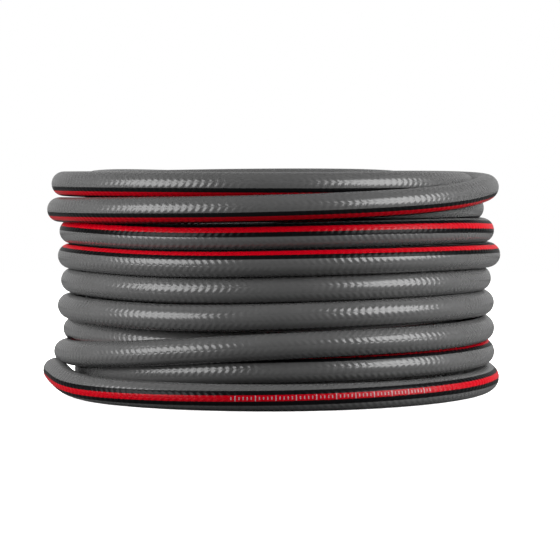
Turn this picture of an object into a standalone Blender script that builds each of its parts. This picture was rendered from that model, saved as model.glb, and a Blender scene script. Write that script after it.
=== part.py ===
"""A coil of garden hose: one length of PVC hose wound in two layers and laid flat on its end.

The coil is one turned solid. Its section is the outline of all the turns, outside, inside and on
both ends, and a Screw modifier sweeps that outline once round the coil's upright axis.
Lengths are in metres, +Z is up, and the origin is on the floor under the middle of the coil.
"""

import math

import bpy

# The hose
HOSE_DIAMETER = 0.0175  # outside, on a half-inch hose: 12.5 mm bore and 2.5 mm wall
CONTACT_LAND = 0.0045  # width of the flat that a turn gets where the coil lies on its end

# The winding
EYE_DIAMETER = 0.245  # clear width inside the coil
TURNS_HIGH = 9  # turns on top of each other
LAYERS = 2  # turns side by side
TURN_GAP = 0.0001  # left between neighbouring turns

# How round the solid is
GROOVE_ANGLE = 75.0  # degrees of a turn that show each way before its neighbour hides it
CORNER_ANGLE = 45.0  # where a corner turn passes from one side of the coil to the next
ARC_STEP = 40.0  # degrees, the longest step of an arc
STEPS_ROUND = 48  # steps of the sweep

HOSE_RADIUS = HOSE_DIAMETER / 2
TURN_PITCH = HOSE_DIAMETER + TURN_GAP
FIRST_RADIUS = EYE_DIAMETER / 2 + HOSE_RADIUS
LAND_ANGLE = math.degrees(math.asin(CONTACT_LAND / HOSE_DIAMETER))
FIRST_LEVEL = HOSE_RADIUS * math.cos(math.radians(LAND_ANGLE))

GREY = (0.175, 0.178, 0.180, 1.0)


def clear_scene():
    """Remove whatever the scene holds, so that only the coil is in it."""
    for thing in list(bpy.data.objects):
        bpy.data.objects.remove(thing, do_unlink=True)


def turn_centre(layer, row):
    """Radius and height of the middle of one turn, counted from the eye and from the floor."""
    return FIRST_RADIUS + layer * TURN_PITCH, FIRST_LEVEL + row * TURN_PITCH


def arc(centre, first, last):
    """Points clockwise round a turn, from one angle to another, in degrees from straight outwards."""
    steps = max(1, math.ceil((first - last) / ARC_STEP - 0.1))
    points = []
    for step in range(steps + 1):
        angle = math.radians(first + (last - first) * step / steps)
        across = centre[0] + HOSE_RADIUS * math.cos(angle)
        up = centre[1] + HOSE_RADIUS * math.sin(angle)
        points.append((across, up))
    return points


def coil_side(centres, facing, has_land):
    """The outline along one side of the coil, whose turns all show towards the angle facing."""
    points = []
    for place, centre in enumerate(centres):
        before = CORNER_ANGLE if place == 0 else GROOVE_ANGLE
        after = CORNER_ANGLE if place == len(centres) - 1 else GROOVE_ANGLE
        if has_land:
            points += arc(centre, facing + before, facing + LAND_ANGLE)
            points += arc(centre, facing - LAND_ANGLE, facing - after)
        else:
            points += arc(centre, facing + before, facing - after)
    # The last point is also the first one of the next side.
    return points[:-1]


def coil_outline():
    """The closed section: down the outside, in under the coil, up the eye and out over the top."""
    rows = range(TURNS_HIGH)
    layers = range(LAYERS)
    outside = [turn_centre(LAYERS - 1, row) for row in reversed(rows)]
    underside = [turn_centre(layer, 0) for layer in reversed(layers)]
    eye = [turn_centre(0, row) for row in rows]
    top = [turn_centre(layer, TURNS_HIGH - 1) for layer in layers]
    return (
        coil_side(outside, 0, False)
        + coil_side(underside, -90, True)
        + coil_side(eye, -180, False)
        + coil_side(top, -270, True)
    )


def soft_pvc():
    """Grey plasticised PVC, as the hose's skin."""
    material = bpy.data.materials.new("soft_pvc")
    material.use_nodes = True
    shader = material.node_tree.nodes["Principled BSDF"]
    shader.inputs["Base Color"].default_value = GREY
    shader.inputs["Roughness"].default_value = 0.45
    shader.inputs["Metallic"].default_value = 0.0
    return material


def hose_coil(collection):
    """The whole coil, as one turned solid."""
    outline = coil_outline()
    count = len(outline)
    mesh = bpy.data.meshes.new("hose_coil")
    vertices = [(across, 0.0, up) for across, up in outline]
    edges = [(index, (index + 1) % count) for index in range(count)]
    mesh.from_pydata(vertices, edges, [])
    coil = bpy.data.objects.new("hose_coil", mesh)
    collection.objects.link(coil)
    coil.data.materials.append(soft_pvc())

    sweep = coil.modifiers.new("Sweep", "SCREW")
    sweep.axis = "Z"
    sweep.angle = math.tau
    sweep.screw_offset = 0.0
    sweep.steps = STEPS_ROUND
    sweep.render_steps = STEPS_ROUND
    sweep.use_merge_vertices = True
    sweep.merge_threshold = 0.0001
    sweep.use_smooth_shade = True
    return coil


clear_scene()
garden_hose = bpy.data.collections.new("garden_hose")
bpy.context.scene.collection.children.link(garden_hose)
hose_coil(garden_hose)
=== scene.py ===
"""A garden hose, wound into a coil and laid on its end, on a pale floor in a plain studio.

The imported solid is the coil's outline as one ring. The hose here is the real thing that fills it:
one length of hose whose turns are wound, shifted and crossed as they lie. Metres, +Z up.
"""

import math

import bpy
import numpy as np
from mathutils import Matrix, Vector


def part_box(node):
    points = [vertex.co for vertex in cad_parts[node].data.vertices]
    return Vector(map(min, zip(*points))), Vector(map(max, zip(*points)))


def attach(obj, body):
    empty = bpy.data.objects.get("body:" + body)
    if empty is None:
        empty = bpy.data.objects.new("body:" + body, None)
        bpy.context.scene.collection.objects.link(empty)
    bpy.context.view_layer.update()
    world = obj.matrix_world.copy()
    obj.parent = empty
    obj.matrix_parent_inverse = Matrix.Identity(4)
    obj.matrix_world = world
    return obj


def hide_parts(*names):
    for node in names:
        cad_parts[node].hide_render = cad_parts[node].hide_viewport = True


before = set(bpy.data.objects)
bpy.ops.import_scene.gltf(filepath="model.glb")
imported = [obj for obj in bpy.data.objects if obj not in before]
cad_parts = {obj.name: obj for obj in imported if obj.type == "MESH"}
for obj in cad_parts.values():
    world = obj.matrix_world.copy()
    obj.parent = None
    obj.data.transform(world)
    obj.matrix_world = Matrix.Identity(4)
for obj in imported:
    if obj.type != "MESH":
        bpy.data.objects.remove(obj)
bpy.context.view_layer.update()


# The garden hose
# One 15 m length of knitted hose: an inner tube of soft PVC, a net of polyester yarn knitted round it,
# and a grey skin extruded over both. It is wound by hand, two layers wide and nine rows high, lies on
# its end, and holds its shape by its own stiffness.

MM = 0.001
HOSE_LENGTH = 15.0
ROWS = 9  # on top of each other
HOSE_DIAMETER = 17.5 * MM
BORE_DIAMETER = 12.5 * MM
SIDES = 32  # of the hose's skin and of its bore
BAND_SIDES = 6  # of those, the ones that the black band covers
BORE_EVERY = 4  # rings of the skin to one ring of the bore, which only its ends show
STEP = 3  # degrees of the winding from one ring to the next

low_corner, high_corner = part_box("hose_coil")
OUTER_LAYER = high_corner.x - HOSE_DIAMETER / 2  # radius of the outer layer's middle line
ROW_PITCH = (high_corner.z - HOSE_DIAMETER) / (ROWS - 1) / MM  # mm, from one row up to the next
LAYER_PITCH = 17.6  # mm, from the outer layer in to the inner one
FLOOR_LEVEL = HOSE_DIAMETER / 2 / MM  # mm, the middle of a turn that lies on the floor

# The turns in the order of winding. Each crosses the front from a place at the coil's left side to one
# at its right side: layer (0 outer, 1 inner), row, and how far it lies out and up from there in mm.
TURNS = (
    ((0, 0, 3.0, 18.5), (0, 0, 3.6, 0.2)),
    ((0, 1, 1.9, 0.2), (0, 2, -0.2, 0.5)),
    ((0, 3, -1.5, -1.0), (0, 3, 0.2, 1.0)),
    ((0, 4, -4.0, 0.1), (0, 4, -2.0, 0.0)),
    ((0, 5, -2.0, 0.0), (0, 5, 4.8, -0.3)),
    ((0, 6, -3.2, -0.2), (0, 6, -0.2, -0.3)),
    ((0, 7, 5.9, -2.3), (0, 8, 3.3, -3.0)),
    ((0, 8, 3.6, -1.5), (1, 8, 3.4, -3.4)),
    ((1, 8, -2.0, -4.0), (1, 7, -9.5, 1.0)),
    ((1, 7, 0.0, -1.0), (0, 7, -5.9, -0.9)),
    ((1, 6, -2.2, -0.2), (1, 6, 0.0, -0.5)),
    ((1, 5, -2.0, 0.0), (1, 5, 2.0, -0.3)),
    ((1, 4, -3.0, 0.1), (1, 4, -2.0, 0.0)),
    ((1, 3, -2.0, -1.0), (1, 3, 0.0, 1.0)),
    ((1, 1, 4.1, -12.6), (0, 1, 1.3, 0.7)),
    ((0, 2, -2.2, -0.9), (1, 2, 0.0, 0.5)),
    ((1, 0, -13.5, 0.0), (1, 0, -2.0, 0.0)),
)
WAVY_TURNS = (2, 3, 4, 5, 10, 11, 12, 13)  # these keep to their row and share its gentle wave
WAVE_ANGLES = range(195, 360, 15)  # round the coil, where the wave is set down
DIP = (2.3, 245, 25)  # mm deep, the angle of its middle and how many degrees wide
RISE = (1.4, 325, 35)  # the same for the rise beside it

# Where a turn leaves its row to cross its neighbours or to climb: the angle round the coil, and how far
# out from the outer layer and how high the hose lies there, in mm.
CROSSINGS = {
    0: ((189, 5.2, 21.6), (195, 8.0, 15.4), (201, 10.0, 10.0), (208, 11.8, 8.8), (225, 12.0, 8.8),
        (245, 10.0, 8.8), (270, 7.8, 8.8)),
    1: ((205, 1.0, 29.4), (217, 0.8, 31.2), (233, 0.5, 34.2), (245, 0.3, 37.2), (256, 0.2, 39.6),
        (270, 1.0, 41.7), (285, 1.6, 43.3), (300, 2.0, 43.9), (330, 1.8, 44.1), (345, 1.0, 44.2)),
    6: ((215, 5.7, 129.0), (256, 5.2, 129.8), (270, 5.0, 130.8), (286, 4.6, 132.2),
        (303, 4.2, 134.4), (317, 3.8, 136.6), (333, 3.3, 140.6), (345, 3.2, 144.6), (385, 0.8, 149.3),
        (440, 0.5, 149.8), (500, 1.0, 149.0)),
    7: ((225, -1.0, 146.2), (270, -6.3, 145.4), (300, -11.0, 145.9), (320, -13.5, 146.4),
        (340, -14.1, 146.6), (390, -15.8, 148.5), (500, -17.0, 148.5)),
    8: ((225, -20.0, 146.0), (240, -21.5, 147.6), (270, -24.0, 148.3), (320, -31.0, 148.3),
        (340, -31.0, 144.0)),
    9: ((270, -17.6, 130.4), (300, -15.0, 129.4), (320, -12.2, 129.4), (335, -9.5, 129.5)),
    14: ((190, -13.5, 13.7), (205, -13.5, 15.0), (225, -13.5, 19.5), (245, -11.0, 23.0),
         (256, -8.5, 24.4), (270, -6.0, 25.3), (285, -3.6, 26.0), (300, -2.0, 26.6),
         (315, -1.5, 27.0), (330, -1.0, 27.4), (345, 0.2, 27.6)),
    15: ((190, -6.5, 43.2), (205, -10.5, 43.6), (217, -14.0, 42.6), (233, -16.5, 40.6),
         (245, -17.6, 40.1), (270, -17.6, 41.0)),
    # The inner end runs on along the floor, inside the coil.
    17: ((60, -18.5, 8.8), (110, -35.4, 8.8), (270, -36.0, 8.8)),
}
FIRST_ANGLE = 189  # where the outer end lies, at the coil's left side
LAST_TURN = 17.9  # turns wound by the end of the route, a little past the hose's full length
ROUTE_EASE = 3  # rings each way that a place on the route is averaged over
BAND_EASE = 6  # the same for the band's angle

# How the coloured band turns round the hose: turns wound, and the band's angle up from straight out.
BAND_TURNS = (
    (0.50, -25), (0.617, -13), (0.655, -4), (0.75, 5), (0.80, 10), (0.87, 17), (1.0, 21),
    (1.5, 118), (1.75, 122), (2.0, 130), (2.5, 160), (3.0, 165), (3.5, 145), (4.0, 125),
    (4.5, 62), (4.75, 52), (5.0, 43), (5.5, 42), (5.75, 31), (5.87, 30), (6.0, 18),
    (6.5, -44), (6.75, -48), (7.0, -52), (7.5, -46), (7.75, -45), (8.0, -52), (10.0, -70), (13.0, -190),
    # From 14.5 to 14.7 turns the band is turned so that its black lies on the shaded left part of that
    # turn, where the black is painted shade.
    (14.5, -306), (14.57, -302), (14.62, -290), (14.70, -284), (14.78, -288), (15.0, -286),
    (15.5, -430), (15.6, -432), (15.75, -436), (17.7, -470),
)


# How turns that lie in each other are pushed apart, round by round, and drawn back to their places.
ROUNDS = 300
LAST_ROUNDS = 60  # the ones in which turns are hardly drawn back any more
SIGHT_DEPTH = -14.5  # mm out from the outer layer, the furthest in that a turn shows in front
SEEN_GIVES_WAY = 0.12  # to a push, where a hidden turn's share is 1
PUSH = 0.7  # of the overlap, in one round
SEEN_PULL = 0.25  # of the way back to its place, in one round
HIDDEN_PULL = 0.03
LAST_SEEN_PULL = 0.05  # in the last rounds, when hidden turns aren't pulled
STIFFNESS = 0.25  # of the way to a smooth bend, in one round
BEND_EASE = 1.2  # rings each way that a bend is averaged over


def swell(shape, angle):
    """Height in mm that a dip or a rise has at an angle round the coil."""
    size, middle, width = shape
    return size * math.exp(-(((angle - middle) / width) ** 2))


def winding_points():
    """The places the hose goes through: turns wound, out from the outer layer, and height, in mm."""
    points = []
    for turn, sides in enumerate(TURNS):
        left, right = [
            (out - layer * LAYER_PITCH, FLOOR_LEVEL + row * ROW_PITCH + up)
            for layer, row, out, up in sides
        ]
        points += [(turn + 0.5, *left), (turn + 1.0, *right)]
        if turn in WAVY_TURNS:
            for angle in WAVE_ANGLES:
                share = (angle - 180) / 180
                out = left[0] + (right[0] - left[0]) * share
                height = left[1] + (right[1] - left[1]) * share
                height = height + swell(RISE, angle) - swell(DIP, angle)
                points.append((turn + angle / 360, out, height))
    for turn, places in CROSSINGS.items():
        points += [(turn + angle / 360, out, height) for angle, out, height in places]
    return np.array(sorted(points)).T


def smoothed(values, width):
    """Values along the hose, each averaged with its neighbours up to three widths away."""
    reach = int(3 * width)
    weights = np.exp(-0.5 * (np.arange(-reach, reach + 1) / width) ** 2)
    before = 2 * values[0] - values[reach:0:-1]
    after = 2 * values[-1] - values[-2 : -reach - 2 : -1]
    return np.convolve(np.concatenate([before, values, after]), weights / weights.sum(), "valid")


def settled(turns_wound, out, height):
    """Push turns apart until none lies in another or in the floor, as the hose's stiffness allows."""
    per_turn = 360 // STEP
    first = round(turns_wound[0] * per_turn)
    windings = -(-(first + len(out)) // per_turn)
    touch = HOSE_DIAMETER / MM

    def by_angle(values):
        grid = np.full(windings * per_turn, np.nan)
        grid[first : first + len(values)] = values
        return grid.reshape(windings, per_turn)

    def along_hose(grid):
        return grid.reshape(-1)[first : first + len(out)]

    out_aim, height_aim = out.copy(), height.copy()
    in_sight = (turns_wound % 1 >= 0.5) & (out_aim > SIGHT_DEPTH)
    ease = by_angle(np.where(in_sight, SEEN_GIVES_WAY, 1.0))
    share = ease[:, None] / (ease[:, None] + ease[None])
    itself = np.arange(windings)
    for round_done in range(ROUNDS):
        across, up = by_angle(out), by_angle(height)
        across, up = across[:, None] - across[None], up[:, None] - up[None]
        apart = np.hypot(across, up)
        apart[itself, itself] = np.nan
        push = np.where(apart < touch, touch - apart, 0) * share / apart
        if round_done < ROUNDS - LAST_ROUNDS:
            pull = np.where(in_sight, SEEN_PULL, HIDDEN_PULL)
        else:
            pull = np.where(in_sight, LAST_SEEN_PULL, 0.0)
        out = out + PUSH * along_hose(np.nansum(push * across, axis=1)) + pull * (out_aim - out)
        height = height + PUSH * along_hose(np.nansum(push * up, axis=1)) + pull * (height_aim - height)
        out = out + STIFFNESS * (smoothed(out, BEND_EASE) - out)
        height = height + STIFFNESS * (smoothed(height, BEND_EASE) - height)
        height = np.maximum(height, FLOOR_LEVEL)
    return out, height


def hose_route():
    """Turns wound, middle line and band angle at each ring, from the outer end to the full length."""
    turns_wound = np.arange(FIRST_ANGLE // STEP, round(LAST_TURN * 360 / STEP)) * STEP / 360
    marks, out, height = winding_points()
    out = smoothed(np.interp(turns_wound, marks, out), ROUTE_EASE)
    height = smoothed(np.interp(turns_wound, marks, height), ROUTE_EASE)
    out, height = settled(turns_wound, out, height)
    radius = OUTER_LAYER + out * MM
    angle = turns_wound * math.tau
    line = np.stack([radius * np.cos(angle), radius * np.sin(angle), height * MM], axis=1)
    steps = np.linalg.norm(np.diff(line, axis=0), axis=1)
    rings = int(np.searchsorted(np.cumsum(steps), HOSE_LENGTH)) + 1
    rings -= (rings - 1) % BORE_EVERY
    band = smoothed(np.interp(turns_wound, *np.array(BAND_TURNS).T), BAND_EASE)
    return turns_wound[:rings], line[:rings], np.radians(band[:rings])


def wall_mesh(turns_wound, line, band):
    """The hose's wall as one closed tube: the skin, the bore, and a ring of wall at each cut end."""
    tangent = np.gradient(line, axis=0)
    tangent /= np.linalg.norm(tangent, axis=1)[:, None]
    angle = turns_wound * math.tau
    outward = np.stack([np.cos(angle), np.sin(angle), np.zeros(len(angle))], axis=1)
    outward -= (outward * tangent).sum(1)[:, None] * tangent
    outward /= np.linalg.norm(outward, axis=1)[:, None]
    upward = np.cross(outward, tangent)
    # The first side faces away from the band, so the band is in the middle of the sides.
    side = math.tau * np.arange(SIDES) / SIDES - math.pi
    round_hose = (band[:, None] + side[None])[..., None]
    towards = np.cos(round_hose) * outward[:, None] + np.sin(round_hose) * upward[:, None]
    skin = line[:, None] + towards * HOSE_DIAMETER / 2
    bore = (line[:, None] + towards * BORE_DIAMETER / 2)[::BORE_EVERY]
    along = np.concatenate([[0], np.cumsum(np.linalg.norm(np.diff(line, axis=0), axis=1))])

    def strip(rings, first, turned):
        here = first + np.arange(rings - 1)[:, None] * SIDES + np.arange(SIDES)[None]
        beside = first + np.arange(rings - 1)[:, None] * SIDES + (np.arange(SIDES)[None] + 1) % SIDES
        faces = np.stack([here, here + SIDES, beside + SIDES, beside], axis=-1).reshape(-1, 4)
        return faces[:, ::-1] if turned else faces

    rings, bore_rings = len(skin), len(bore)
    bore_first = rings * SIDES
    faces = [strip(rings, 0, False), strip(bore_rings, bore_first, True)]
    sides = np.arange(SIDES)
    for skin_ring, bore_ring, turned in ((0, 0, False), (rings - 1, bore_rings - 1, True)):
        outer = skin_ring * SIDES + sides
        inner = bore_first + bore_ring * SIDES + sides
        cap = np.stack([outer, np.roll(outer, -1), np.roll(inner, -1), inner], axis=-1)
        faces.append(cap[:, ::-1] if turned else cap)
    faces = np.concatenate(faces)
    vertices = np.concatenate([skin.reshape(-1, 3), bore.reshape(-1, 3)])
    mesh = bpy.data.meshes.new("hose")
    mesh.from_pydata(vertices.tolist(), [], faces.tolist())
    mesh.validate()

    # The band's faces take the second material. They are the six in the middle of the skin's sides.
    is_skin = np.arange(len(faces)) < (rings - 1) * SIDES
    face_side = np.arange(len(faces)) % SIDES
    in_band = is_skin & (np.abs(face_side + 0.5 - SIDES / 2) < BAND_SIDES / 2)
    mesh.polygons.foreach_set("material_index", in_band.astype(np.int32))

    # One map gives metres along the hose and the share of the way round it. The seam is opposite the band.
    ring_of = np.concatenate([
        np.repeat(np.arange(rings), SIDES), np.repeat(np.arange(0, rings, BORE_EVERY), SIDES)
    ])
    side_of = np.tile(sides, rings + bore_rings)
    corner = faces.reshape(-1)
    way_round = side_of[corner] / SIDES
    face_sides = side_of[faces]
    wraps = (face_sides.max(axis=1) == SIDES - 1) & (face_sides.min(axis=1) == 0)
    way_round = np.where(np.repeat(wraps, 4) & (side_of[corner] == 0), 1.0, way_round)
    places = np.stack([along[ring_of[corner]], way_round], axis=1)
    mesh.uv_layers.new(name="along_and_round").uv.foreach_set("vector", places.astype(np.float32).ravel())
    return mesh


def linear(hex_code):
    """An sRGB hex colour as the linear one that a shader takes."""
    parts = [int(hex_code[place : place + 2], 16) / 255 for place in (1, 3, 5)]
    return [part / 12.92 if part <= 0.04045 else ((part + 0.055) / 1.055) ** 2.4 for part in parts] + [1.0]


def add_node(tree, kind, inputs, **settings):
    """Add a node with its settings. An input takes a value, another node's output, or its first one."""
    node = tree.nodes.new(kind)
    for name, value in settings.items():
        setattr(node, name, value)
    for place, value in inputs.items():
        if isinstance(value, bpy.types.Node):
            value = value.outputs[0]
        if isinstance(value, bpy.types.NodeSocket):
            tree.links.new(value, node.inputs[place])
        else:
            node.inputs[place].default_value = value
    return node


SKIN_GREY, PALE_GREY = "#3c3c3c", "#434343"
BAND_BLACK = "#070708"
BAND_RED = "#84000c"
BAND_WIDTH = 67 / 360  # of the way round, the black band
LINE_WIDTH = 26 / 360  # of the way round, the red line along its middle
EDGE_BLUR = 0.004  # of the way round, where one compound runs into the next
PVC_IOR = 1.53
SKIN_ROUGHNESS = 0.19
PATCH_ROUGHNESS = 0.05  # more, in the dullest patches
BAND_ROUGHNESS = 0.08  # more, in the band
GREY_GLOSS = 0.5  # specular level of the grey skin
BAND_GLOSS = 0.10  # and of the band
STITCH = 4.6 * MM  # of the knitted yarn, along the hose
WALES = 12  # columns of stitches round the hose
SLANT = 0.6  # of a stitch, from one side of a wale to the other
WALE_POWER = 0.5  # of the half wave across a wale, which below 1 widens its top and steepens its sides
RELIEF = 0.19 * MM  # how far the yarn stands up under the skin
CLOUD = 22 * MM  # across a patch where the skin is a little lighter and duller
GRAIN = 0.55 * MM  # of the skin, as coarse as it has to be to show
GRAIN_DEPTH = 0.02 * MM
MARK_GREY = "#75676a"
MARKS_FROM, MARKS_TO = 0.196, 0.332  # metres from the outer end, the printed scale
MARK_PITCH = 2.5 * MM  # from one of its ticks to the next
MARK_WIDTH = 0.28  # of the pitch
MARKS_PER_LONG_ONE = 5
MARK_REACH = 0.25  # of the line's width, each way from its middle
LONG_MARK_EXTRA = 0.2  # more, on a long mark


def extruded_pvc(name, gloss):
    """Plasticised PVC, extruded over the knitted yarn and run in with a black band and its red line. It
    is a satin skin, on which the stitches show as slanted ridges where the light catches them."""
    material = bpy.data.materials.new(name)
    material.use_nodes = True
    tree = material.node_tree
    tree.nodes.clear()
    maths = "ShaderNodeMath"

    places = add_node(tree, "ShaderNodeUVMap", {}, uv_map="along_and_round")
    split = add_node(tree, "ShaderNodeSeparateXYZ", {0: places})
    along, way_round = split.outputs[0], split.outputs[1]

    # Herringbone of the knit: the ridges slant one way in one wale and the other way in the next.
    wale = add_node(tree, maths, {0: way_round, 1: WALES}, operation="MULTIPLY")
    zigzag = add_node(tree, maths, {0: wale, 1: 1.0}, operation="PINGPONG")
    stitches = add_node(tree, maths, {0: along, 1: 1 / STITCH}, operation="MULTIPLY")
    phase = add_node(tree, maths, {0: zigzag, 1: SLANT, 2: stitches}, operation="MULTIPLY_ADD")
    whole_waves = add_node(tree, maths, {0: phase, 1: math.tau}, operation="MULTIPLY")
    wave = add_node(tree, maths, {0: whole_waves}, operation="SINE")
    ridge = add_node(tree, maths, {0: wave, 1: 0.5, 2: 0.5}, operation="MULTIPLY_ADD")
    half_waves = add_node(tree, maths, {0: wale, 1: math.pi}, operation="MULTIPLY")
    across_wale = add_node(tree, maths, {0: half_waves}, operation="SINE")
    wale_height = add_node(tree, maths, {0: across_wale}, operation="ABSOLUTE")
    rounded_wale = add_node(tree, maths, {0: wale_height, 1: WALE_POWER}, operation="POWER")
    knit = add_node(tree, maths, {0: ridge, 1: rounded_wale}, operation="MULTIPLY")

    # The band and its line, by distance round the hose from the band's middle.
    from_middle = add_node(tree, maths, {0: way_round, 1: 0.5}, operation="SUBTRACT")
    from_band = add_node(tree, maths, {0: from_middle}, operation="ABSOLUTE")
    in_band, in_line = [
        add_node(tree, "ShaderNodeMapRange",
                 {0: from_band, 1: width / 2 + EDGE_BLUR, 2: width / 2 - EDGE_BLUR},
                 interpolation_type="SMOOTHSTEP")
        for width in (BAND_WIDTH, LINE_WIDTH)
    ]
    object_places = add_node(tree, "ShaderNodeTexCoord", {}).outputs["Object"]
    cloud = add_node(tree, "ShaderNodeTexNoise",
                     {"Vector": object_places, "Scale": 1 / CLOUD, "Detail": 3.0})

    # A plain measuring scale is printed on the line, near the outer end.
    pitches = add_node(tree, maths, {0: along, 1: 1 / MARK_PITCH}, operation="MULTIPLY")
    into_pitch = add_node(tree, maths, {0: pitches}, operation="FRACT")
    stroke = add_node(tree, maths, {0: into_pitch, 1: MARK_WIDTH}, operation="LESS_THAN")
    groups = add_node(tree, maths, {0: pitches, 1: 1 / MARKS_PER_LONG_ONE}, operation="MULTIPLY")
    into_group = add_node(tree, maths, {0: groups}, operation="FRACT")
    is_long = add_node(tree, maths, {0: into_group, 1: 1 / MARKS_PER_LONG_ONE}, operation="LESS_THAN")
    reach = add_node(tree, maths, {0: is_long, 1: LONG_MARK_EXTRA * LINE_WIDTH, 2: MARK_REACH * LINE_WIDTH},
                     operation="MULTIPLY_ADD")
    in_reach = add_node(tree, maths, {0: from_band, 1: reach}, operation="LESS_THAN")
    tick = add_node(tree, maths, {0: stroke, 1: in_reach}, operation="MULTIPLY")
    past_start = add_node(tree, maths, {0: along, 1: MARKS_FROM}, operation="GREATER_THAN")
    before_end = add_node(tree, maths, {0: along, 1: MARKS_TO}, operation="LESS_THAN")
    printed = add_node(tree, maths, {0: past_start, 1: before_end}, operation="MULTIPLY")
    mark = add_node(tree, maths, {0: tick, 1: printed}, operation="MULTIPLY")

    skin = add_node(tree, "ShaderNodeMix", {0: cloud, 6: linear(SKIN_GREY), 7: linear(PALE_GREY)},
                    data_type="RGBA")
    for where, colour in ((in_band, BAND_BLACK), (in_line, BAND_RED), (mark, MARK_GREY)):
        skin = add_node(tree, "ShaderNodeMix", {0: where, 6: skin.outputs[2], 7: linear(colour)},
                        data_type="RGBA")
    roughness = add_node(tree, maths, {0: cloud, 1: PATCH_ROUGHNESS, 2: SKIN_ROUGHNESS},
                         operation="MULTIPLY_ADD")
    roughness = add_node(tree, maths, {0: in_band, 1: BAND_ROUGHNESS, 2: roughness},
                         operation="MULTIPLY_ADD")
    grain = add_node(tree, "ShaderNodeTexNoise",
                     {"Vector": object_places, "Scale": 1 / GRAIN, "Detail": 2.0})
    fine = add_node(tree, "ShaderNodeBump", {"Height": grain, "Distance": GRAIN_DEPTH})
    relief = add_node(tree, "ShaderNodeBump", {"Height": knit, "Distance": RELIEF, "Normal": fine})
    shader = add_node(tree, "ShaderNodeBsdfPrincipled", {
        "Base Color": skin.outputs[2], "Roughness": roughness, "IOR": PVC_IOR,
        "Specular IOR Level": gloss, "Normal": relief})
    add_node(tree, "ShaderNodeOutputMaterial", {"Surface": shader})
    return material


CUT_EDGE = math.radians(50)  # a bend sharper than this, which is only at the cut ends, isn't smoothed

turns_wound, middle_line, band_angle = hose_route()
hose = bpy.data.objects.new("garden_hose", wall_mesh(turns_wound, middle_line, band_angle))
bpy.context.scene.collection.objects.link(hose)
hose.data.shade_smooth()
hose.data.set_sharp_from_angle(angle=CUT_EDGE)
# The grey skin mirrors the soft boxes as long pale highlights. The black compound of the band is duller,
# so it stays deep even where they fall on it.
hose.data.materials.append(extruded_pvc("grey_PVC_extruded_over_knit", GREY_GLOSS))
hose.data.materials.append(extruded_pvc("black_PVC_band_run_into_the_skin", BAND_GLOSS))
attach(hose, "root")
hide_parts("hose_coil")


# The floor
# A wide sheet of white paper that the coil lies on. It gives light of its own, a little more further out,
# so that it stays pale to its edges. The hose gets back the light of a darker card instead, which keeps
# its underside and the grooves between the turns as deep as they are.

PAPER_WHITE = "#f8f8f7"
PAPER_ROUGHNESS = 0.9
CARD_GREY = "#505050"
FLOOR_SIZE = 4.0
NEAR_GLOW, FAR_GLOW = 0.70, 1.05  # of the sheet's own light
GLOW_FROM, GLOW_TO = 0.25, 1.2  # metres from the coil's axis, over which it grows

bpy.ops.mesh.primitive_plane_add(size=FLOOR_SIZE)
floor = bpy.context.active_object
floor.name = "paper_floor"
paper = bpy.data.materials.new("matt_white_paper")  # no shine, so nothing shows on it but soft shadow
paper.use_nodes = True
tree = paper.node_tree
tree.nodes.clear()
floor_places = add_node(tree, "ShaderNodeTexCoord", {}).outputs["Object"]
from_axis = add_node(tree, "ShaderNodeVectorMath", {0: floor_places}, operation="LENGTH")
glow = add_node(tree, "ShaderNodeMapRange",
                {0: from_axis.outputs[1], 1: GLOW_FROM, 2: GLOW_TO, 3: NEAR_GLOW, 4: FAR_GLOW},
                interpolation_type="SMOOTHSTEP")
sheet = add_node(tree, "ShaderNodeBsdfPrincipled", {
    "Base Color": linear(PAPER_WHITE), "Roughness": PAPER_ROUGHNESS,
    "Emission Color": linear(PAPER_WHITE), "Emission Strength": glow})
card = add_node(tree, "ShaderNodeBsdfDiffuse", {0: linear(CARD_GREY)})
in_view = add_node(tree, "ShaderNodeLightPath", {}).outputs["Is Camera Ray"]
surface = add_node(tree, "ShaderNodeMixShader", {0: in_view, 1: card, 2: sheet})
add_node(tree, "ShaderNodeOutputMaterial", {"Surface": surface})
floor.data.materials.append(paper)


# The studio
# A room that looks white but lights the coil little, except from far behind. Two soft boxes, each side of
# the camera and a little above the coil, draw the long highlights along the turns and leave the middle
# dark. Four fills light the coil's sides and back and don't show in its gloss.

ROOM_LIGHT = 1.0  # to the camera
FAR_SIDE_LIGHT = 0.40  # to the coil, from straight behind it
CAMERA_SIDE_LIGHT = 0.03  # to the coil, from everywhere else
FAR_SIDE_FROM, FAR_SIDE_TO = 0.5, 1.05  # share of a direction that points away from the camera
SOFT_BOXES = (
    # name, degrees round from the camera, degrees up, width, height, watts, seen in gloss
    ("left_soft_box", -56, 15, 0.88, 0.70, 10.0, True),
    ("right_soft_box", 60, 20, 0.82, 0.70, 12.0, True),
    ("left_fill", -78, 16, 1.00, 1.00, 31.0, False),
    ("right_fill", 78, 16, 1.00, 1.00, 31.0, False),
    ("left_back_fill", -140, 40, 0.80, 0.80, 12.0, False),
    ("right_back_fill", 140, 40, 0.80, 0.80, 12.0, False),
)
SOFT_BOX_DISTANCE = 1.1

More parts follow.
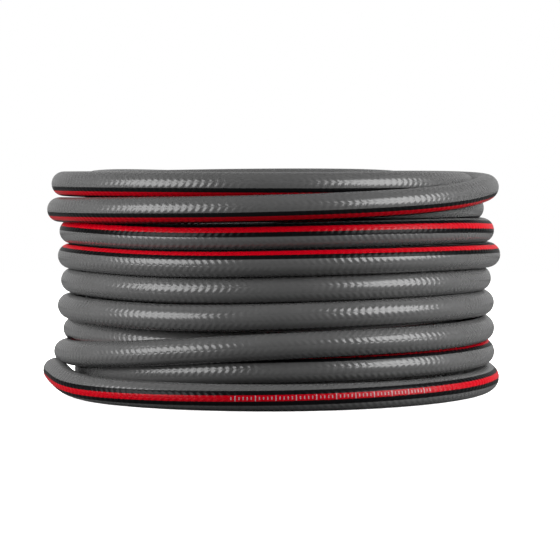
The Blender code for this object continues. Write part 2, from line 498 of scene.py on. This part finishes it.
world = bpy.data.worlds.new("white_studio")
world.use_nodes = True
tree = world.node_tree
tree.nodes.clear()
direction = add_node(tree, "ShaderNodeTexCoord", {}).outputs["Generated"]
away = add_node(tree, "ShaderNodeSeparateXYZ", {0: direction}).outputs[1]
light = add_node(tree, "ShaderNodeMapRange",
                 {0: away, 1: FAR_SIDE_FROM, 2: FAR_SIDE_TO, 3: CAMERA_SIDE_LIGHT, 4: FAR_SIDE_LIGHT},
                 interpolation_type="SMOOTHSTEP")
seen = add_node(tree, "ShaderNodeLightPath", {}).outputs["Is Camera Ray"]
strength = add_node(tree, "ShaderNodeMix", {0: seen, 2: light, 3: ROOM_LIGHT})
room = add_node(tree, "ShaderNodeBackground", {0: (1, 1, 1, 1), 1: strength})
add_node(tree, "ShaderNodeOutputWorld", {0: room})
bpy.context.scene.world = world

coil_middle = (low_corner + high_corner) / 2
for name, bearing, rise, width, height, watts, in_gloss in SOFT_BOXES:
    box = bpy.data.lights.new(name, "AREA")
    box.shape = "RECTANGLE"
    box.size, box.size_y = width, height
    box.energy = watts
    lamp = bpy.data.objects.new(name, box)
    bearing, rise = math.radians(bearing), math.radians(rise)
    level = math.cos(rise)
    towards = Vector((math.sin(bearing) * level, -math.cos(bearing) * level, math.sin(rise)))
    lamp.location = coil_middle + towards * SOFT_BOX_DISTANCE
    lamp.rotation_euler = towards.to_track_quat("Z", "Y").to_euler()
    lamp.visible_camera = False
    lamp.visible_glossy = in_gloss
    bpy.context.scene.collection.objects.link(lamp)
bpy.context.scene.view_settings.view_transform = "Standard"


# The camera
# A long lens at the height of the coil's upper rows, tipped down a little, so that the rows look almost
# level and only the front rim of the top is seen.

CAMERA_PLACE = Vector((0.0, -1.40, 0.141))
CAMERA_AIM_RIGHT = 0.0037
CAMERA_TIP = math.radians(2.585)
CAMERA_LENS = 124.5

camera = bpy.data.objects.new("camera", bpy.data.cameras.new("camera"))
camera.data.lens = CAMERA_LENS
camera.location = CAMERA_PLACE
aim = Vector((CAMERA_AIM_RIGHT, 0.0, CAMERA_PLACE.z + CAMERA_PLACE.y * math.tan(CAMERA_TIP)))
camera.rotation_euler = (aim - CAMERA_PLACE).to_track_quat("-Z", "Y").to_euler()
bpy.context.scene.collection.objects.link(camera)
bpy.context.scene.camera = camera
